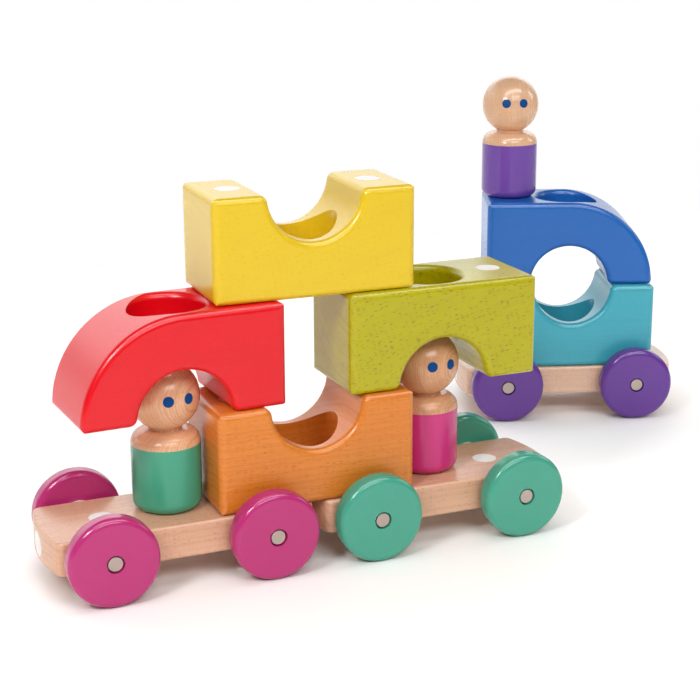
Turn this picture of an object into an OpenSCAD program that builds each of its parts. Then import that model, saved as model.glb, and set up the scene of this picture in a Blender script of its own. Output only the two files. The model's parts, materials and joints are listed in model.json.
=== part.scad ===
// Wooden train set: flat cars on turned wheels, arch blocks and quarter-round
// blocks that stack on them, and peg figures that stand under the arches.
// X runs along the two coupled cars, Y away from their near side, Z up from the floor.

/* [Blocks] */
// Length of a block
block_l = 120; // [104:1:150]
// Height of a block, from its arch face to its flat face
block_h = 60; // [50:1:80]
// Depth of a block along its arch, and width of a car
width = 60; // [50:1:80]
// Radius of the half-round arch
arch_r = 28; // [25:0.5:34]
// Radius of the round hole through the middle of a block
hole_r = 22; // [14:0.5:24]
// Rounding of a block's edges
edge_r = 4; // [1:0.1:5]
// Rounding where the arch runs out into the face
lip_r = 5; // [3:0.5:8]

/* [Cars] */
// Length of a car over its two curved ends
board_l = 158; // [140:1:200]
// Thickness of a car's board
board_t = 20; // [17:0.5:30]
// Radius of a car's curved ends, seen from above
end_r = 100; // [85:1:200]
// Rounding of the four corners, seen from above
corner_r = 5; // [4:0.5:10]
// Rounding of a board's edges
board_edge = 1.8; // [0.8:0.1:2]
// Space between the ends of two coupled cars
coupling_gap = 0.4; // [0.2:0.1:2]

/* [Wheels] */
// Radius of a wheel
wheel_r = 26; // [20:0.5:32]
// Thickness of a wheel at its rim
wheel_t = 13; // [10:0.5:18]
// Rounding of a wheel's rim
wheel_edge = 4; // [1:0.5:5]
// Space between a car's side and a wheel's rim
wheel_gap = 3.5; // [2:0.5:8]
// Radius of the washer that keeps the wheel off the board
washer_r = 9; // [5:0.5:9.5]
// How far a wheel's rim stays inside the car's end
rim_inset = 6; // [2:0.5:16]

/* [Wheel pins] */
// Radius of a pin's shank
pin_r = 3; // [2:0.1:4]
// Length of shank inside the board
pin_in = 20; // [12:1:24]
// Radius of a pin's head
head_r = 4.1; // [3.8:0.1:6]
// Thickness of a pin's head
head_t = 2; // [1:0.1:3]
// How far the head lies below the wheel's face
head_sink = 0.8; // [0.2:0.1:2]
// Width of the open ring around a pin's head
head_ring = 1.1; // [0.4:0.1:2]

/* [Magnets] */
// Radius of a block's and a car's magnets and their caps
disc_r = 7.3; // [5:0.1:8.5]
// Thickness of a cap
cap_t = 1; // [0.6:0.1:2]
// Thickness of a magnet
magnet_t = 4; // [2:0.5:5]
// How far a magnet sits inwards of the middle of a block's leg
disc_shift = 2; // [0:0.5:4]
// Radius of the magnet in a figure's base
base_magnet_r = 5; // [3:0.5:8]

/* [Figures] */
// Radius of a figure's body
figure_r = 20; // [16:0.5:22]
// Radius of a figure's round head
ball_r = 20.3; // [16:0.1:22]
// Radius of a figure's neck
neck_r = 9.5; // [6:0.5:12]
// Length of the neck between head and shoulders
neck_l = 1.6; // [0.6:0.1:4]
// Rounding of the shoulders
shoulder_r = 8; // [4:0.5:10]
// Rounding of the base
base_r = 6; // [2:0.5:8]

/* [Fits] */
// Radial space around a glued magnet, cap or pin
glue_gap = 0.1; // [0.05:0.01:0.2]
// Radial space between a wheel's bore and its pin
run_gap = 0.08; // [0.05:0.01:0.1]
// End play of a wheel on its pin
side_play = 0.4; // [0.2:0.1:1]
// Space between a figure's head and the arch above it
head_room = 1.2; // [0.8:0.1:3]
// Space between a figure and the end of the bridging block
stand_off = 1.5; // [1:0.1:4]

/* [Layout] */
// How far back the blocks that stand on a car lie from its middle
deck_shift = 1; // [0:0.5:2]
// Where the red block's middle lies along its figure, and how far back
red_at = [2.5, 2]; // [0:0.1:4]
// Turn of the red block, seen from above
red_turn = 2.8; // [0:0.1:5]
// Where the lime block's middle lies along its figure, and how far back
lime_at = [-0.5, 4]; // [-4:0.1:4]
// Where the yellow block's middle lies along the coupling, and how far back
yellow_at = [2.8, 7]; // [-8:0.1:8]
// Turn of the yellow block, seen from above
yellow_turn = -1.4; // [-5:0.1:5]
// How far back the two riding figures stand
rider_y = 3; // [0:0.5:6]
// Where the third car stands, from the coupling
third_at = [278.5, 177]; // [150:0.5:400]
// Turn of the third car, seen from above
third_turn = -19; // [-40:1:0]
// How far along the third car the teal block's middle lies
teal_x = 1.5; // [-10:0.5:10]
// Where the blue block's middle lies on the third car
blue_at = [2, 8]; // [-8:0.5:8]
// Turn of the blue block on the third car
blue_turn = -4; // [-5:0.5:5]
// How far back the top figure stands from the blue block's middle
top_rider_y = 4; // [0:0.5:8]

/* [Hidden] */
$fn = 96;
over = 1;
// How far a rounding stands past the faces that it joins, so that it crosses them cleanly
blend = 0.02;
axle_z = wheel_r;
deck_z = axle_z + board_t / 2;
wheel_base = board_l - 2 * (wheel_r + rim_inset);
wheel_mid = width / 2 + wheel_gap + wheel_t / 2;
wheel_out = wheel_mid + wheel_t / 2;
car_x = (board_l + coupling_gap) / 2;
pocket_r = disc_r + glue_gap;
pocket_h = cap_t + magnet_t;
bore_r = pin_r + run_gap;
sink_r = head_r + head_ring;
sink_h = head_sink + head_t + side_play;
lip_x = sqrt(pow(arch_r + lip_r, 2) - pow(lip_r, 2));
disc_x = (lip_x + block_l / 2 - edge_r) / 2 - disc_shift;
// The edge's rounding along the lip can be no larger than the lip's own
lip_edge = min(edge_r, lip_r);
curve_x = block_l / 2 - block_h;
rider_x = block_l / 2 + figure_r + stand_off;
figure_h = block_h + arch_r - head_room;
ball_z = figure_h - ball_r;
shoulder_z = ball_z - sqrt(pow(ball_r, 2) - pow(neck_r, 2)) - neck_l;

// Half-extent of the turned third car over its wheels, along a line at an angle to it
function third_reach(angle) = cos(angle) * (wheel_base / 2 + wheel_r - wheel_edge)
    + sin(angle) * (wheel_out - wheel_edge) + wheel_edge;
far_x = third_at[0] + third_reach(abs(third_turn));
far_y = third_at[1] + third_reach(90 - abs(third_turn));
mid_x = (far_x - board_l - coupling_gap / 2) / 2;
mid_y = (far_y - wheel_out) / 2;

beech = "#e3c09c";
steel = "#b9b5b0";
nickel = "#8f9296";
cap_white = "#f4f1ec";
nylon = "#ece6d8";
car_colors = ["#c4427a", "#55ac94", "#734b9b"];

// Cuts a convex corner at the origin, with the wood in the third quadrant, to a rounding
module corner_cut(r) {
    difference() {
        translate([-r, -r]) square(2 * r);
        translate([-r, -r]) circle(r);
    }
}

module round_rect(a, b, r) {
    difference() {
        square([a, b], center = true);
        for (flip_x = [0, 1], flip_y = [0, 1])
            mirror([flip_x, 0]) mirror([0, flip_y])
                translate([a / 2, b / 2]) corner_cut(r);
    }
}

// Disc about Z with both rims rounded
module round_disc(r, t, edge) {
    rotate_extrude() difference() {
        translate([0, -t / 2]) square([r, t]);
        for (flip = [0, 1])
            mirror([0, flip]) translate([r, t / 2]) corner_cut(edge);
    }
}

// Rounds the mouth of a hole of radius r in a face at z = 0, with the wood below
module mouth_cut(r, edge) {
    rotate_extrude() difference() {
        translate([r - over, -edge]) square([edge + over, edge + over]);
        translate([r + edge, -edge]) circle(edge);
    }
}

// Box on z = 0 with every edge rounded
module round_box(l, d, h, edge) {
    intersection() {
        linear_extrude(h) round_rect(l, d, edge);
        translate([0, 0, h / 2]) rotate([90, 0, 0])
            linear_extrude(d, center = true) round_rect(l, h, edge);
        translate([0, 0, h / 2]) rotate([90, 0, 90])
            linear_extrude(l, center = true) round_rect(d, h, edge);
    }
}

// Room to take away above the arch's rounded lip, on the right of the arch
module lip_cut() {
    difference() {
        rotate([90, 0, 0]) linear_extrude(width + 2 * over, center = true)
            polygon([[0, 0], [lip_x, lip_r], [lip_x, -over], [0, -over]]);
        translate([lip_x, 0, lip_r]) rotate([90, 0, 0]) round_disc(lip_r + blend, width, lip_edge);
    }
}

// Rounds the rim of the arch at the far face
module arch_rim_cut() {
    translate([0, width / 2, 0]) rotate([-90, 0, 0]) mouth_cut(arch_r, edge_r);
}

// Puts children at each magnet of a block, with z = 0 on the face and the wood below.
// A quarter-round block has no flat face, and no magnet, above its curved end.
module each_disc(quarter) {
    for (side = [-1, 1])
        translate([side * disc_x, 0, 0]) rotate([180, 0, 0]) children();
    for (side = quarter ? [1] : [-1, 1])
        translate([side * disc_x, 0, block_h]) children();
}

// Left end of a quarter-round block, round about the arch's side of the block
module quarter_end() {
    intersection() {
        translate([-curve_x, 0, 0]) rotate([90, 0, 0]) round_disc(block_h, width, edge_r);
        translate([0, 0, block_h / 2]) rotate([90, 0, 90])
            linear_extrude(2 * block_l, center = true) round_rect(width, block_h, edge_r);
        translate([-curve_x - block_h - over, -width, 0]) cube([block_h + over, 2 * width, block_h]);
        clear_of_tip();
    }
}

// Everything but the sharp tip where the curved end meets the arch face
module clear_of_tip() {
    tip_x = sqrt(pow(block_h - edge_r, 2) - pow(edge_r, 2));
    translate([-curve_x, 0, 0]) rotate([90, 0, 0]) linear_extrude(2 * width, center = true)
        difference() {
            translate([-block_h - over, 0]) square([block_h + 2 * over, block_h + over]);
            difference() {
                polygon([[-tip_x, edge_r], 2 * [-tip_x, edge_r], [-2 * tip_x, -over], [-tip_x, -over]]);
                translate([-tip_x, edge_r]) circle(edge_r);
            }
        }
}

// A block on its arch face, with its arch, middle hole and magnet pockets
module block(quarter = false) {
    difference() {
        if (quarter) {
            intersection() {
                round_box(block_l, width, block_h, edge_r);
                translate([-curve_x, -width, -over]) cube([block_l, 2 * width, block_h + 2 * over]);
            }
            quarter_end();
        } else {
            round_box(block_l, width, block_h, edge_r);
        }
        rotate([90, 0, 0]) cylinder(r = arch_r, h = width + 2 * over, center = true);
        for (side = [0, 1]) {
            mirror([side, 0, 0]) lip_cut();
            mirror([0, side, 0]) arch_rim_cut();
        }
        cylinder(r = hole_r, h = block_h + over);
        translate([0, 0, block_h]) mouth_cut(hole_r, edge_r);
        each_disc(quarter) translate([0, 0, -pocket_h]) cylinder(r = pocket_r, h = pocket_h + over);
    }
}

module block_magnets(quarter = false) {
    each_disc(quarter) magnet();
}

module block_caps(quarter = false) {
    each_disc(quarter) cap();
}

// A magnet at the bottom of its pocket, below a face at z = 0
module magnet() {
    color(nickel) translate([0, 0, -pocket_h]) cylinder(r = disc_r, h = magnet_t);
}

// The cap over a magnet, flush with the face
module cap() {
    color(cap_white) translate([0, 0, -cap_t]) cylinder(r = disc_r, h = cap_t);
}

// Turns a block over, so that its arch opens upwards
module arch_up() {
    translate([0, 0, block_h]) rotate([180, 0, 0]) children();
}

// Places in the set: the coupled cars' frame, then the third car's
module in_set(x, y, z = 0, turn = 0) {
    translate([x - mid_x, y - mid_y, z]) rotate(turn) children();
}

module on_third(x, y, z = 0, turn = 0) {
    in_set(third_at[0], third_at[1], 0, third_turn) translate([x, y, z]) rotate(turn) children();
}

module at_car(car) {
    if (car == 3) on_third(0, 0) children();
    else in_set(car == 1 ? -car_x : car_x, 0) children();
}

module at_orange() in_set(0, deck_shift, deck_z) arch_up() children();
module at_red() in_set(red_at[0] - rider_x, red_at[1], deck_z + block_h, red_turn) children();
module at_lime() in_set(lime_at[0] + rider_x, lime_at[1], deck_z + block_h) children();
module at_yellow() in_set(yellow_at[0], yellow_at[1], deck_z + 2 * block_h, yellow_turn) arch_up() children();
module at_teal() on_third(teal_x, deck_shift, deck_z) arch_up() children();
module at_blue() on_third(blue_at[0], blue_at[1], deck_z + block_h, blue_turn) mirror([1, 0, 0]) children();
module at_green_figure() in_set(-rider_x, rider_y, deck_z) children();
module at_pink_figure() in_set(rider_x, rider_y, deck_z) children();
module at_purple_figure() at_blue() translate([disc_x, top_rider_y, block_h]) children();

// Puts children at each magnet of a car, with z = 0 on the face and the wood below
module each_deck_disc() {
    for (side = [-1, 1]) {
        translate([side * disc_x, 0, deck_z]) children();
        translate([side * board_l / 2, 0, axle_z]) rotate([0, side * 90, 0]) children();
    }
}

// Puts children at each wheel, with Z along its axle, pointing out from the car
module each_wheel() {
    for (along = [-1, 1], across = [-1, 1])
        at_wheel(along, across) children();
}

module at_wheel(along, across) {
    translate([along * wheel_base / 2, across * wheel_mid, axle_z])
        rotate([-90 * across, 0, 0]) children();
}

// Room to take away outside one rounded corner of a board
module board_corner_cut() {
    end_x = board_l / 2 - end_r;
    y = width / 2 - corner_r;
    x = end_x + sqrt(pow(end_r - corner_r, 2) - pow(y, 2));
    out = 2 * corner_r;
    run = (x - end_x) / y;
    difference() {
        linear_extrude(2 * board_t, center = true)
            polygon([[x, y], [x + run * out, y + out], [x, y + out]]);
        translate([x, y, 0]) round_disc(corner_r + blend, board_t, board_edge);
    }
}

// A car's board, with its pockets for magnets and holes for pins
module board() {
    translate([0, 0, axle_z]) difference() {
        intersection() {
            rotate([90, 0, 90]) linear_extrude(board_l + over, center = true)
                round_rect(width, board_t, board_edge);
            curved_ends();
        }
        for (flip_x = [0, 1], flip_y = [0, 1])
            mirror([flip_x, 0, 0]) mirror([0, flip_y, 0]) board_corner_cut();
        translate([0, 0, -axle_z]) {
            each_deck_disc() translate([0, 0, -pocket_h]) cylinder(r = pocket_r, h = pocket_h + over);
            each_wheel() translate([0, 0, -wheel_mid + width / 2 - pin_in])
                cylinder(r = pin_r + glue_gap, h = pin_in + over);
        }
    }
}

// The two curved ends, each a wide round disc, where they overlap
module curved_ends() {
    intersection() {
        translate([board_l / 2 - end_r, 0, 0]) round_disc(end_r, board_t, board_edge);
        translate([end_r - board_l / 2, 0, 0]) round_disc(end_r, board_t, board_edge);
    }
}

// A wheel about Z, with room for its pin's head in the outer face
module wheel(car) {
    color(car_colors[car - 1]) difference() {
        round_disc(wheel_r, wheel_t, wheel_edge);
        cylinder(r = bore_r, h = wheel_t + 2 * over, center = true);
        translate([0, 0, wheel_t / 2 - sink_h]) cylinder(r = sink_r, h = sink_h + over);
    }
}

// Washer around a pin, against the car's side and just clear of the wheel
module washer() {
    color(nylon) translate([0, 0, width / 2 - wheel_mid]) difference() {
        cylinder(r = washer_r, h = wheel_gap - side_play);
        cylinder(r = pin_r + glue_gap, h = 2 * wheel_gap, center = true);
    }
}

// Headed pin on which a wheel turns, its shank fast in the board
module wheel_pin() {
    shank_end = width / 2 - pin_in - wheel_mid;
    head_z = wheel_t / 2 - head_sink - head_t;
    color(steel) {
        translate([0, 0, shank_end]) cylinder(r = pin_r, h = head_z - shank_end);
        translate([0, 0, head_z]) cylinder(r = head_r, h = head_t);
    }
}

// One turned piece: painted body, bare shoulders, neck and head
module figure(paint) {
    color(paint) difference() {
        rotate_extrude() {
            difference() {
                square([figure_r, shoulder_z]);
                translate([figure_r, shoulder_z]) corner_cut(shoulder_r);
                translate([figure_r, 0]) mirror([0, 1]) corner_cut(base_r);
            }
            translate([0, shoulder_z - over]) square([neck_r, neck_l + 2 * over]);
            intersection() {
                translate([0, ball_z]) circle(ball_r);
                translate([0, ball_z - 2 * ball_r]) square([2 * ball_r, 4 * ball_r]);
            }
        }
        translate([0, 0, -over]) cylinder(r = base_magnet_r + glue_gap, h = magnet_t + over);
    }
}

module figure_magnet() {
    color(nickel) cylinder(r = base_magnet_r, h = magnet_t);
}

module orange_block() { at_orange() color("#e68c41") block(); }
module red_block() { at_red() color("#e8373e") block(quarter = true); }
module lime_block() { at_lime() color("#beb92d") block(); }
module yellow_block() { at_yellow() color("#f0d03c") block(); }
module teal_block() { at_teal() color("#50aab9") block(); }
module blue_block() { at_blue() color("#3e70b6") block(quarter = true); }

module orange_magnets() { at_orange() block_magnets(); }
module red_magnets() { at_red() block_magnets(quarter = true); }
module lime_magnets() { at_lime() block_magnets(); }
module yellow_magnets() { at_yellow() block_magnets(); }
module teal_magnets() { at_teal() block_magnets(); }
module blue_magnets() { at_blue() block_magnets(quarter = true); }

module orange_caps() { at_orange() block_caps(); }
module red_caps() { at_red() block_caps(quarter = true); }
module lime_caps() { at_lime() block_caps(); }
module yellow_caps() { at_yellow() block_caps(); }
module teal_caps() { at_teal() block_caps(); }
module blue_caps() { at_blue() block_caps(quarter = true); }

module green_figure() { at_green_figure() figure(car_colors[1]); }
module pink_figure() { at_pink_figure() figure(car_colors[0]); }
module purple_figure() { at_purple_figure() figure(car_colors[2]); }

module green_figure_magnet() { at_green_figure() figure_magnet(); }
module pink_figure_magnet() { at_pink_figure() figure_magnet(); }
module purple_figure_magnet() { at_purple_figure() figure_magnet(); }

wheel_places = [["near_left", -1, -1], ["near_right", 1, -1], ["far_left", -1, 1], ["far_right", 1, 1]];

for (car = [1, 2, 3]) {
    at_car(car) color(beech) board();
    at_car(car) each_deck_disc() magnet();
    at_car(car) each_deck_disc() cap();
    at_car(car) each_wheel() wheel_pin();
    at_car(car) each_wheel() washer();
    for (place = wheel_places)
        at_car(car) at_wheel(place[1], place[2]) wheel(car);
}
orange_block();
orange_magnets();
orange_caps();
red_block();
red_magnets();
red_caps();
lime_block();
lime_magnets();
lime_caps();
yellow_block();
yellow_magnets();
yellow_caps();
teal_block();
teal_magnets();
teal_caps();
blue_block();
blue_magnets();
blue_caps();
green_figure();
green_figure_magnet();
pink_figure();
pink_figure_magnet();
purple_figure();
purple_figure_magnet();
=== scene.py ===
# Looks of a wooden train set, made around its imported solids, in metres.
import bpy
import json
import math
from mathutils import Matrix, Vector


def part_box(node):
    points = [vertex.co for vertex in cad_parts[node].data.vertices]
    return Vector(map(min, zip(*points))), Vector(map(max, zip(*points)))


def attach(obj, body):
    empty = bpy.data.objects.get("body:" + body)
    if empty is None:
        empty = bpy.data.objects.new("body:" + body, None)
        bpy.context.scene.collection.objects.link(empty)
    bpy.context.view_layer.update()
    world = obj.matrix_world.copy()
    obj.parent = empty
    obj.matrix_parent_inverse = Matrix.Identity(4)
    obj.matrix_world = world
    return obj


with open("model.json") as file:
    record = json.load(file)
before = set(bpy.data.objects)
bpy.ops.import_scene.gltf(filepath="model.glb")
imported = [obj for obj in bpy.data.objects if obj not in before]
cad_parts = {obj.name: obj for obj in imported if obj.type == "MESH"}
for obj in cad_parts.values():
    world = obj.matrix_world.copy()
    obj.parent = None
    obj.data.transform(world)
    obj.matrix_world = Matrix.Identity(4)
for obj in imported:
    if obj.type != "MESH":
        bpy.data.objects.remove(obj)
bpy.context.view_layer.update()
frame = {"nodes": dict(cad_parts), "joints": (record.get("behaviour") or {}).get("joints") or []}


# The three boards. Each car is one plank of straight-grained beech, planed, routed round its
# edges and sprayed with clear satin lacquer, so the pinkish wood shows its rings and flecks.
# The third board is given paler colours.
millimetre = 0.001


def linear(hex_colour):
    """An sRGB hex colour as linear RGBA."""
    channels = [int(hex_colour[i:i + 2], 16) / 255 for i in (1, 3, 5)]
    return [c / 12.92 if c <= 0.04045 else ((c + 0.055) / 1.055) ** 2.4 for c in channels] + [1.0]


def darker(colour, share):
    """A linear colour brought down to a share of itself."""
    return [channel * share for channel in colour[:3]] + [1.0]


def empty_material(name):
    """A new material and its node tree, still without nodes."""
    material = bpy.data.materials.new(name)
    material.use_nodes = True
    material.node_tree.nodes.clear()
    return material, material.node_tree


def add(tree, kind, inputs, **settings):
    """Adds a shader node with its settings, and fills its inputs with values or links."""
    made = tree.nodes.new("ShaderNode" + kind)
    for name, value in settings.items():
        setattr(made, name, value)
    for key, value in inputs.items():
        if isinstance(value, bpy.types.NodeSocket):
            tree.links.new(value, made.inputs[key])
        else:
            made.inputs[key].default_value = value
    return made


def beech_grain(tree, place, turn, heart, lean, upright, ring_width, fleck):
    """The patterns of beech, each from 0 to 1: late wood, fibres, flecks, streaks and end grain.

    Sizes are in millimetres about a place, with the grain along X until it is turned about Z,
    leaned about Y or stood upright. The heart is the middle of the tree, across the grain. Real
    fibres and flecks are a tenth of a millimetre or so across: both are drawn coarser, to show.
    """
    fibre_width = 0.5
    streak_width = 9.0
    wander_width = 22.0
    wander_reach = (8.0, 4.0, 4.0)
    along_scale = 0.07
    late_from, late_to = 0.42, 0.72
    bare_share = 0.2
    least_fleck, most_fleck = 0.05, 0.45
    fleck_edge = 0.12
    tilt = lean - math.pi / 2 if upright else lean

    at = add(tree, "TexCoord", {}).outputs["Object"]
    grain = add(tree, "Mapping", {"Vector": at, "Location": place, "Rotation": (0, tilt, turn),
                                  "Scale": [millimetre] * 3}, vector_type="TEXTURE").outputs[0]
    along = add(tree, "VectorMath", {0: grain, 1: (along_scale, 1, 1)},
                operation="MULTIPLY").outputs[0]
    wander = add(tree, "TexNoise", {"Vector": along, "Scale": 1 / wander_width,
                                    "Detail": 2.0}).outputs["Color"]
    moved = add(tree, "VectorMath", {0: wander, 1: wander_reach, 2: grain},
                operation="MULTIPLY_ADD").outputs[0]

    # Rings stand about the heart, and each darkens into late wood.
    across = add(tree, "VectorMath", {0: moved, 1: (0, 1, 1), 2: (0, -heart[0], -heart[1])},
                 operation="MULTIPLY_ADD").outputs[0]
    reach = add(tree, "VectorMath", {0: across}, operation="LENGTH").outputs["Value"]
    rings = add(tree, "TexNoise", {"W": reach, "Scale": 1 / ring_width, "Detail": 2.0},
                noise_dimensions="1D").outputs["Fac"]
    late = add(tree, "MapRange", {"Value": rings, "From Min": late_from, "From Max": late_to},
               interpolation_type="SMOOTHSTEP").outputs[0]

    # Fibres and streaks run along the grain.
    fibres = add(tree, "TexNoise", {"Vector": along, "Scale": 1 / fibre_width, "Detail": 3.0,
                                    "Roughness": 0.6}).outputs["Fac"]
    streaks = add(tree, "TexNoise", {"Vector": along, "Scale": 1 / streak_width,
                                     "Detail": 2.0}).outputs["Fac"]

    # Flecks are short dashes, one to a cell and of many sizes, and some cells are next to bare.
    cells = add(tree, "VectorMath", {0: moved, 1: (1 / fleck[0], 1 / fleck[1], 1 / fleck[1])},
                operation="MULTIPLY").outputs[0]
    cell = add(tree, "TexVoronoi", {"Vector": cells, "Scale": 1.0}, feature="F1").outputs
    chance = add(tree, "SeparateColor", {"Color": cell["Color"]}).outputs["Red"]
    size = add(tree, "MapRange", {"Value": chance, "From Min": bare_share,
                                  "To Min": least_fleck, "To Max": most_fleck}).outputs[0]
    depth = add(tree, "Math", {0: size, 1: cell["Distance"]}, operation="SUBTRACT").outputs[0]
    flecks = add(tree, "MapRange", {"Value": depth, "From Max": fleck_edge},
                 interpolation_type="SMOOTHSTEP").outputs[0]

    # End grain is where a face looks along the fibres.
    facing = add(tree, "TexCoord", {}).outputs["Normal"]
    axis = Matrix.Rotation(turn, 3, "Z") @ Matrix.Rotation(tilt, 3, "Y") @ Vector((1, 0, 0))
    end = add(tree, "VectorMath", {0: facing, 1: axis}, operation="DOT_PRODUCT").outputs["Value"]
    ends = add(tree, "Math", {0: end, 1: end}, operation="MULTIPLY").outputs[0]
    return late, fibres, flecks, streaks, ends


def lacquered_beech(name, place, turn, heart, colours, shows, satin, lean=0.0, upright=False,
                    ring_width=2.5, fleck=(4.0, 0.9), paint=None):
    """Beech under a thin sprayed lacquer: wood grain below, a soft and faintly rippled gloss above.

    colours: early wood, late wood and flecks. shows: how far rings, rings on end grain, fibres,
    flecks and streaks darken the wood, from 0 to 1. satin: lowest and highest roughness. fleck:
    length and width in millimetres. paint: colour of an opaque coat, and the height it reaches.
    """
    lacquer_ior = 1.46
    ripple_width = 1.6
    fibre_relief = 0.4
    relief_strength = 0.03
    dark_from, dark_to = 0.35, 0.7
    paint_edge = 0.15 * millimetre
    paint_shade = 0.93

    material, tree = empty_material(name)
    late, fibres, flecks, streaks, ends = beech_grain(
        tree, place, turn, heart, lean, upright, ring_width, fleck)
    early_colour, late_colour, fleck_colour = [linear(colour) for colour in colours]
    ring_show, end_show, fibre_show, fleck_show, streak_show = shows
    ring_level = add(tree, "MapRange", {"Value": ends, "To Min": ring_show,
                                        "To Max": end_show}).outputs[0]
    ring_part = add(tree, "Math", {0: late, 1: ring_level}, operation="MULTIPLY").outputs[0]
    fibre_part = add(tree, "MapRange", {"Value": fibres, "From Min": dark_from,
                                        "From Max": dark_to, "To Max": fibre_show}).outputs[0]
    streak_part = add(tree, "MapRange", {"Value": streaks, "From Min": dark_from,
                                         "From Max": dark_to, "To Max": streak_show}).outputs[0]
    fleck_part = add(tree, "Math", {0: flecks, 1: fleck_show}, operation="MULTIPLY").outputs[0]
    colour = early_colour
    for part, tint in ((ring_part, late_colour), (fibre_part, late_colour),
                       (streak_part, late_colour), (fleck_part, fleck_colour)):
        colour = add(tree, "MixRGB", {"Fac": part, "Color1": colour, "Color2": tint}).outputs[0]

    at = add(tree, "TexCoord", {}).outputs["Object"]
    if paint:
        paint_colour, paint_top = linear(paint[0]), paint[1]
        height = add(tree, "SeparateXYZ", {0: at}).outputs["Z"]
        coat = add(tree, "MapRange", {"Value": height, "From Min": paint_top + paint_edge,
                                      "From Max": paint_top - paint_edge}).outputs[0]
        cover = add(tree, "MixRGB", {"Fac": fibre_part, "Color1": paint_colour,
                                     "Color2": darker(paint_colour, paint_shade)}).outputs[0]
        colour = add(tree, "MixRGB", {"Fac": coat, "Color1": colour, "Color2": cover}).outputs[0]

    ripple = add(tree, "TexNoise", {"Vector": at, "Scale": 1 / (ripple_width * millimetre),
                                    "Detail": 1.0}).outputs["Fac"]
    relief = add(tree, "Math", {0: fibres, 1: fibre_relief, 2: ripple},
                 operation="MULTIPLY_ADD").outputs[0]
    bump = add(tree, "Bump", {"Height": relief, "Strength": relief_strength,
                              "Distance": millimetre}).outputs[0]
    rough = add(tree, "MapRange", {"Value": fibres, "To Min": satin[0],
                                   "To Max": satin[1]}).outputs[0]
    surface = add(tree, "BsdfPrincipled", {"Base Color": colour, "Roughness": rough,
                                           "IOR": lacquer_ior, "Normal": bump}).outputs[0]
    add(tree, "OutputMaterial", {"Surface": surface})
    return material


def middle(node):
    """The middle of a node's box."""
    low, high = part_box(node)
    return (low + high) / 2


def dress(node, material):
    """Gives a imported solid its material."""
    solid = frame["nodes"][node]
    solid.data.materials.clear()
    solid.data.materials.append(material)


joint_axes = {joint["name"]: Vector(joint["axis"]) for joint in frame["joints"]}
third_turn = math.atan2(joint_axes["car_3_roll"].y, joint_axes["car_3_roll"].x)
reddish_beech = ("#e6b799", "#cd9876", "#a3684d")
pale_beech = ("#f3cdb3", "#e0b294", "#bb8468")
board_shows = (0.4, 0.6, 0.5, 0.5, 0.3)
board_satin = (0.24, 0.32)
board_fleck = (2.6, 0.5)
boards = {
    1: {"turn": 0.0, "heart": (-14, -60), "colours": reddish_beech},
    2: {"turn": 0.0, "heart": (25, -48), "colours": reddish_beech},
    3: {"turn": third_turn, "heart": (10, -80), "colours": pale_beech},
}
for car, plank in boards.items():
    board = f"board_{car}"
    dress(board, lacquered_beech(f"clear lacquered beech, car {car}", middle(board),
                                 shows=board_shows, satin=board_satin, fleck=board_fleck, **plank))


# The wheel pins. Each is bright drawn steel with a flat head, knocked and glued into a hole in the
# board's side, so that only the head shows, sunk in the middle of the wheel.

def plain_finish(name, colour, roughness, mottle, metallic=0.0, specular=0.5, grit=1.0):
    """A drawn, plated, moulded or printed surface with a slight mottle and a fine relief.

    mottle: how far the colour deepens in patches. grit: width of the relief in millimetres, which
    is coarser than the real one so that it shows. The IOR keeps its default for metals, and that
    suits the plastics and the enamel as well.
    """
    patch_width = 18 * grit
    grit_share = 0.35
    patch_from, patch_to = 0.4, 1.0
    patch_depth = 3
    roughness_play = 0.04
    relief_strength = 0.03

    material, tree = empty_material(name)
    at = add(tree, "TexCoord", {}).outputs["Object"]
    fine = add(tree, "TexNoise", {"Vector": at, "Scale": 1 / (grit * millimetre),
                                  "Detail": 2.0}).outputs["Fac"]
    broad = add(tree, "TexNoise", {"Vector": at, "Scale": 1 / (patch_width * millimetre),
                                   "Detail": 2.0}).outputs["Fac"]
    both = add(tree, "Math", {0: fine, 1: grit_share, 2: broad},
               operation="MULTIPLY_ADD").outputs[0]
    share = add(tree, "MapRange", {"Value": both, "From Min": patch_from,
                                   "From Max": patch_to}).outputs[0]
    deep = darker(linear(colour), 1 - patch_depth * mottle)
    shade = add(tree, "MixRGB", {"Fac": share, "Color1": linear(colour),
                                 "Color2": deep}).outputs[0]
    rough = add(tree, "MapRange", {"Value": fine, "To Min": roughness - roughness_play,
                                   "To Max": roughness + roughness_play}).outputs[0]
    bump = add(tree, "Bump", {"Height": fine, "Strength": relief_strength,
                              "Distance": millimetre}).outputs[0]
    surface = add(tree, "BsdfPrincipled", {"Base Color": shade, "Roughness": rough,
                                           "Metallic": metallic, "Specular IOR Level": specular,
                                           "Normal": bump}).outputs[0]
    add(tree, "OutputMaterial", {"Surface": surface})
    return material


# Drawn and tumbled steel gives a soft grey shine, without a clear mirror image.
drawn_steel = plain_finish("bright drawn steel", "#bcada5", 0.36, 0.03, metallic=1.0, grit=0.6)
for car in boards:
    dress(f"wheel_pins_{car}", drawn_steel)


# The washers. A small moulded ring of natural nylon on each pin keeps the wheel's rim off the
# board, and the wheel holds it in place.

# Nylon without pigment is a waxy cream, with a dull sheen.
nylon = plain_finish("natural moulded nylon", "#e9e2d2", 0.45, 0.02)
for car in boards:
    dress(f"wheel_washers_{car}", nylon)


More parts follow.
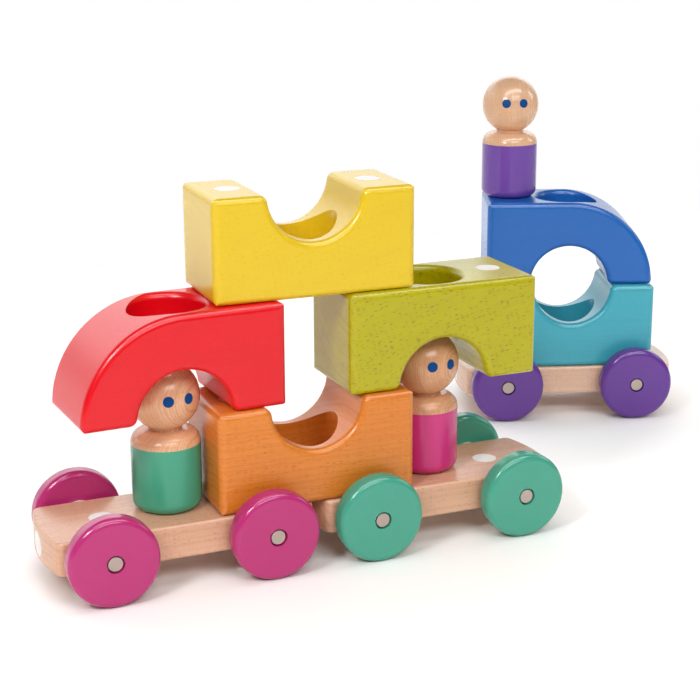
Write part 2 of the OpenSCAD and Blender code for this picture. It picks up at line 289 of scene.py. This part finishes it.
# The wheels. Each is turned from beech, rounded at the rim, dipped in opaque coloured lacquer and
# left to turn freely on its pin, so only an even colour and the lacquer's soft gloss show.
wheel_colours = {1: ("#bd3076", "#b22c6e"), 2: ("#49a68d", "#429b82"), 3: ("#693b98", "#623692")}
wheel_leans = {"near_left": 0.5, "near_right": -0.45, "far_left": 1.2, "far_right": -1.0}
lean_per_car = 0.3
wheel_heart = (30, 45)
wheel_shows = (0.1, 0.2, 0.25, 0.1, 0.15)
wheel_satin = (0.15, 0.2)
for car, (colour, deep) in wheel_colours.items():
    for place, lean in wheel_leans.items():
        wheel = f"wheel_{car}_{place}"
        dress(wheel, lacquered_beech(f"opaque lacquer on beech, {wheel}", middle(wheel),
                                     boards[car]["turn"], wheel_heart, (colour, deep, deep),
                                     wheel_shows, wheel_satin, lean + lean_per_car * car))


# The magnets. Nickel plated discs are glued in blind pockets, in the boards' decks and ends, in the
# blocks and in the figures' bases. The caps and the wood hide them.
blocks = ("orange", "red", "lime", "yellow", "teal", "blue")
figures = ("green", "pink", "purple")

# Nickel plate is smooth and cool grey, with a brighter shine than the steel.
nickel = plain_finish("nickel plate", "#a7a9ac", 0.3, 0.02, metallic=1.0)
for car in boards:
    dress(f"deck_magnets_{car}", nickel)
for block in blocks:
    dress(f"{block}_magnets", nickel)
for figure in figures:
    dress(f"{figure}_figure_magnet", nickel)


# The caps. A thin white disc, moulded in polypropylene, is pressed into the mouth of each pocket
# flush with the wood, and shows where another piece will hold.

# Moulded polypropylene is an even, slightly warm white that hardly shines.
white_cap = plain_finish("white moulded polypropylene", "#f8f3f0", 0.4, 0.01)
for car in boards:
    dress(f"deck_caps_{car}", white_cap)
for block in blocks:
    dress(f"{block}_caps", white_cap)


# The blocks. Each is sawn from beech, bored and arched, rounded at every edge and sprayed with a
# coloured lacquer: the yellow, orange, lime and teal let the grain through, and the red and blue
# hide it.
red_turn = math.atan2(joint_axes["red_pull"].x, -joint_axes["red_pull"].y)
blue_swing = math.radians(4)
blue_turn = third_turn - blue_swing
block_satin = (0.22, 0.3)
block_finishes = {
    "orange": {"turn": 0.0, "heart": (-18, -75), "fleck": (4.2, 0.45),
               "colours": ("#e98f37", "#d17221", "#b0530c"),
               "shows": (0.45, 0.6, 0.65, 0.6, 0.3)},
    "red": {"turn": red_turn, "heart": (-30, -60), "fleck": (3.0, 0.8),
            "colours": ("#e5061a", "#d60513", "#be040f"),
            "shows": (0.1, 0.2, 0.3, 0.2, 0.15)},
    "lime": {"turn": 0.0, "heart": (-26, 62), "lean": -0.24, "fleck": (3.4, 0.62),
             "colours": ("#bcb400", "#a89e00", "#8a5c14"),
             "shows": (0.15, 0.7, 0.5, 0.85, 0.25)},
    "yellow": {"turn": 0.0, "heart": (16, -90), "lean": -0.25, "fleck": (3.6, 0.6),
               "colours": ("#e6c421", "#ddb71b", "#cda013"),
               "shows": (0.1, 0.4, 0.3, 0.4, 0.2)},
    "teal": {"turn": third_turn, "heart": (20, -66), "fleck": (4.0, 0.8),
             "colours": ("#44afc2", "#39a1b3", "#308596"),
             "shows": (0.2, 0.4, 0.4, 0.2, 0.25)},
    "blue": {"turn": blue_turn, "heart": (-24, -70), "fleck": (3.0, 0.8),
             "colours": ("#1f68bc", "#1b5eae", "#18539c"),
             "shows": (0.1, 0.2, 0.3, 0.15, 0.2)},
}
for block, finish in block_finishes.items():
    node = f"{block}_block"
    dress(node, lacquered_beech(f"{block} lacquered beech", middle(node), satin=block_satin,
                                **finish))


# The figures. Each is turned in one piece from a beech dowel, dipped in opaque lacquer up to the
# shoulders and lacquered clear above, so the head keeps the wood's colour, with the grain upright.
paint_height = 0.039
figure_shows = (0.7, 0.7, 0.6, 0.35, 0.3)
figure_satin = (0.16, 0.24)
figure_fleck = (2.2, 0.45)
dowel_ring_width = 0.8
# The heads' bare wood differs in tone from figure to figure. The pink head's wood is darker, as
# painted shade for its place under the lime arch. The purple head's wood is lighter, as painted
# light for its place in the open at the back.
figure_finishes = {
    "green": ("#44a484", (9, 16), ("#efc09a", "#d1986d", "#a0683f")),
    # The pink body's paint is brighter than the pink wheels' lacquer, as painted light on a body
    # that stands in the lime arch's shade.
    "pink": ("#d13380", (26, 30), ("#e4b088", "#c48a60", "#97613b")),
    "purple": ("#7248a7", (-3, 26), ("#ecc29f", "#d8a680", "#a8714a")),
}
for figure, (colour, heart, head_colours_with_painted_light) in figure_finishes.items():
    node = f"{figure}_figure"
    low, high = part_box(node)
    dress(node, lacquered_beech(f"lacquered beech, {figure} figure", middle(node), 0.0, heart,
                                head_colours_with_painted_light, figure_shows, figure_satin, upright=True,
                                ring_width=dowel_ring_width, fleck=figure_fleck,
                                paint=(colour, low.z + paint_height)))


# The eyes. Two round dots of blue enamel are printed on the front of each head, and stand proud of
# the wood by no more than the thickness of the paint.
head_radius = 0.0203
eye_radius = 0.0034
paint_thickness = 0.00006
eye_spread = math.radians(18.1)
eye_looks = {"green": (8.6, 4.5), "pink": (5.9, 5.7), "purple": (-18.5, 8.8)}


def eye_dot(name, centre, turn, height):
    """A thin round cap on a ball about centre, turned from -Y towards +X and raised by an angle."""
    sides = 48
    rings = 6
    edge = math.asin(eye_radius / head_radius)
    verts = [(0.0, 0.0, head_radius + paint_thickness)]
    for ring in range(1, rings + 1):
        angle = edge * ring / rings
        radius = head_radius + (paint_thickness if ring < rings else -paint_thickness)
        reach = radius * math.sin(angle)
        for side in range(sides):
            around = 2 * math.pi * side / sides
            verts.append((reach * math.cos(around), reach * math.sin(around),
                          radius * math.cos(angle)))
    faces = [(0, 1 + side, 1 + (side + 1) % sides) for side in range(sides)]
    for ring in range(rings - 1):
        inner = 1 + ring * sides
        outer = inner + sides
        faces += [(inner + side, outer + side, outer + (side + 1) % sides,
                   inner + (side + 1) % sides) for side in range(sides)]
    last = 1 + (rings - 1) * sides
    faces.append([last + side for side in reversed(range(sides))])
    mesh = bpy.data.meshes.new(name)
    mesh.from_pydata(verts, [], faces)
    facing = Matrix.Rotation(turn, 4, "Z") @ Matrix.Rotation(math.pi / 2 - height, 4, "X")
    mesh.transform(Matrix.Translation(centre) @ facing)
    mesh.shade_smooth()
    dot = bpy.data.objects.new(name, mesh)
    bpy.context.scene.collection.objects.link(dot)
    return dot


# Printed enamel is an even, deep blue that dries nearly matt.
eye_enamel = plain_finish("blue printed enamel", "#00488b", 0.5, 0.05, specular=0.15)
for figure, (turn, height) in eye_looks.items():
    low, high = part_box(f"{figure}_figure")
    head = Vector(((low.x + high.x) / 2, (low.y + high.y) / 2, high.z - head_radius))
    for side, name in ((-1, "left"), (1, "right")):
        dot = eye_dot(f"{figure}_eye_{name}", head, math.radians(turn) + side * eye_spread,
                      math.radians(height))
        dot.data.materials.append(eye_enamel)
        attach(dot, f"{figure}_rider")


# The paper. The set stands on a wide sheet of white paper, laid flat, which ends a little way
# behind the third car, where the bright backdrop takes over.
paper_corners = ((-1.6, -1.6), (1.6, -1.6), (1.6, 0.65), (-1.6, 0.65))
floor_mesh = bpy.data.meshes.new("paper")
floor_mesh.from_pydata([(x, y, 0.0) for x, y in paper_corners], [], [(0, 1, 2, 3)])
floor = bpy.data.objects.new("paper", floor_mesh)

# Uncoated paper is a plain white that scatters all its light.
white_paper, tree = empty_material("uncoated white paper")
surface = add(tree, "BsdfPrincipled", {"Base Color": linear("#f6f4f2"),
                                       "Roughness": 0.9}).outputs[0]
add(tree, "OutputMaterial", {"Surface": surface})
floor_mesh.materials.append(white_paper)
paper = bpy.data.collections.new("paper alone")
bpy.context.scene.collection.children.link(paper)
paper.objects.link(floor)


# The lights. A big soft box in front gives most of the light, and smaller ones left, right and
# above shape the sides and tops. Two more show in gloss alone, as glints on the rounded edges, and
# two wide ones fall on the paper alone and keep it white out to its far edge.
set_middle = (0.0, 0.0, 0.1)


def soft_box(name, place, size, watts, target=set_middle, lights=None, gloss_alone=False):
    """A rectangular area light at a place, turned to a target.

    lights: the one collection that it falls on, or None for everything. gloss_alone: whether it
    shows as a reflection in gloss and gives matt surfaces no light.
    """
    lamp = bpy.data.lights.new(name, "AREA")
    lamp.shape = "RECTANGLE"
    lamp.size, lamp.size_y = size
    lamp.energy = watts
    light = bpy.data.objects.new(name, lamp)
    light.matrix_world = Matrix.Translation(place) @ (
        (Vector(target) - Vector(place)).to_track_quat("-Z", "Y").to_matrix().to_4x4())
    light.visible_camera = False
    light.visible_diffuse = not gloss_alone
    light.light_linking.receiver_collection = lights
    bpy.context.scene.collection.objects.link(light)


soft_box("soft box left", (-0.9, -0.66, 0.92), (0.3, 0.32), 6.5)
soft_box("glint box left", (-0.85, -0.75, 0.85), (0.3, 0.3), 4, gloss_alone=True)
soft_box("soft box right", (1.2, -0.1, 0.7), (0.3, 0.5), 2.5, target=(0.1, 0.0, 0.1))
soft_box("soft box in front", (0.0, -1.9, 1.65), (1.5, 0.75), 26, target=(0.05, 0.05, 0.1))
soft_box("soft box above", (-0.5, -0.2, 1.7), (0.6, 0.6), 2)
soft_box("strip box above", (0.0, -0.45, 1.25), (1.5, 0.3), 14, gloss_alone=True)
soft_box("paper light", (0.0, 0.1, 1.8), (2.4, 1.6), 14, target=(0.0, 0.1, 0.0), lights=paper)
soft_box("backdrop light", (0.0, 1.1, 1.3), (2.6, 0.5), 12, target=(0.0, 0.6, 0.0), lights=paper)


# The room. Dim walls, and a lit white backdrop low behind the set that fades out at its sides, top
# and foot. Gloss mirrors the backdrop in full, matt surfaces get less of its light, and the camera
# sees plain white.
room = 0.1
ground = 0.6
glow_in_gloss = 2.4
glow_on_matt = 0.6
plain_white = 1.0
side_from, side_to = 0.1, 0.7
top_from, top_to = 0.8, 0.45
foot_from, foot_to = 0.14, 0.3
foot_share = 0.45
horizon, ground_from = 0.0, -0.15
world = bpy.data.worlds.new("white studio")
world.use_nodes = True
tree = world.node_tree
tree.nodes.clear()
way = add(tree, "SeparateXYZ", {0: add(tree, "TexCoord", {}).outputs["Generated"]}).outputs
behind = add(tree, "MapRange", {"Value": way["Y"], "From Min": side_from, "From Max": side_to},
             interpolation_type="SMOOTHSTEP").outputs[0]
low_down = add(tree, "MapRange", {"Value": way["Z"], "From Min": top_from, "From Max": top_to},
               interpolation_type="SMOOTHSTEP").outputs[0]
rise = add(tree, "MapRange", {"Value": way["Z"], "From Min": foot_from, "From Max": foot_to,
                              "To Min": foot_share}).outputs[0]
share = add(tree, "Math", {0: behind, 1: low_down}, operation="MULTIPLY").outputs[0]
share = add(tree, "Math", {0: share, 1: rise}, operation="MULTIPLY").outputs[0]
walls = add(tree, "MapRange", {"Value": way["Z"], "From Min": horizon, "From Max": ground_from,
                               "To Min": room, "To Max": ground}).outputs[0]
rays = add(tree, "LightPath", {}).outputs
backdrop = add(tree, "MapRange", {"Value": rays["Is Diffuse Ray"], "To Min": glow_in_gloss,
                                  "To Max": glow_on_matt}).outputs[0]
level = add(tree, "MapRange", {"Value": share, "To Min": walls, "To Max": backdrop}).outputs[0]
strength = add(tree, "MapRange", {"Value": rays["Is Camera Ray"], "To Min": level,
                                  "To Max": plain_white}).outputs[0]
light = add(tree, "Background", {"Color": linear("#ffffff"), "Strength": strength}).outputs[0]
add(tree, "OutputWorld", {"Surface": light})
bpy.context.scene.world = world
bpy.context.scene.view_settings.view_transform = "Standard"


# The camera. It stands in front and to the left, a little above the set, at the place, angles and
# focal length, in pixels, that were solved from the corners and wheels in the photograph.
image_width = 700
focal_length = 1657.96
camera_place = (-0.43558, -0.95669, 0.38584)
yaw = math.radians(23.06)
pitch = math.radians(16.13)
roll = math.radians(-0.24)
lens = bpy.data.cameras.new("camera")
lens.sensor_width = 36.0
lens.lens = lens.sensor_width * focal_length / image_width
camera = bpy.data.objects.new("camera", lens)
camera.matrix_world = Matrix.Translation(camera_place) @ (
    Matrix.Rotation(-yaw, 4, "Z") @ Matrix.Rotation(math.pi / 2 - pitch, 4, "X")
    @ Matrix.Rotation(roll, 4, "Z"))
bpy.context.scene.collection.objects.link(camera)
bpy.context.scene.camera = camera
